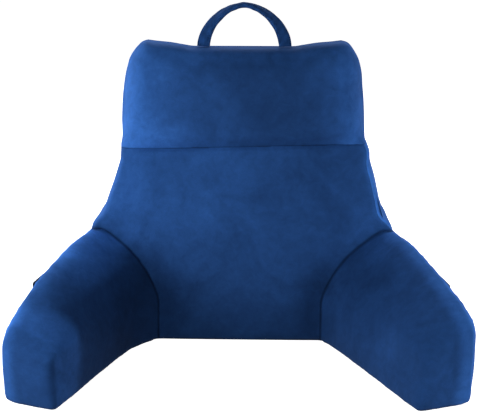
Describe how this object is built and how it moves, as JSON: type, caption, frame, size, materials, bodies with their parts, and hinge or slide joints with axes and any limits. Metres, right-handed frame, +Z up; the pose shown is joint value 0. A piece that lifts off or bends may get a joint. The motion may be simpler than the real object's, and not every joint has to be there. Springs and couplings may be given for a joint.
{
  "type": "reading pillow with arms",
  "caption": "Reading pillow: a tall filled back in two sections, splayed filled arms, a carry handle on top and a patch pocket on the outside of each arm.",
  "frame": {"origin": "centre of the pillow's outline, on the floor it stands on", "axes": "+X to the viewer's right along the width, -Y the way the sitter faces and the arms point, +Z up"},
  "size_m": [0.7556, 0.5036, 0.609],
  "materials": {
    "velvet_cover": "short soft pile",
    "pocket_cloth": "plain matt knit"
  },
  "bodies": {
    "root": {"head_cushion": "velvet_cover", "back_cushion": "velvet_cover", "arm_cushion_left": "velvet_cover", "arm_cushion_right": "velvet_cover", "side_gusset_left": "velvet_cover", "side_gusset_right": "velvet_cover", "carry_handle": "velvet_cover", "side_pocket_left": "pocket_cloth", "side_pocket_right": "pocket_cloth"}
  },
  "joints": []
}
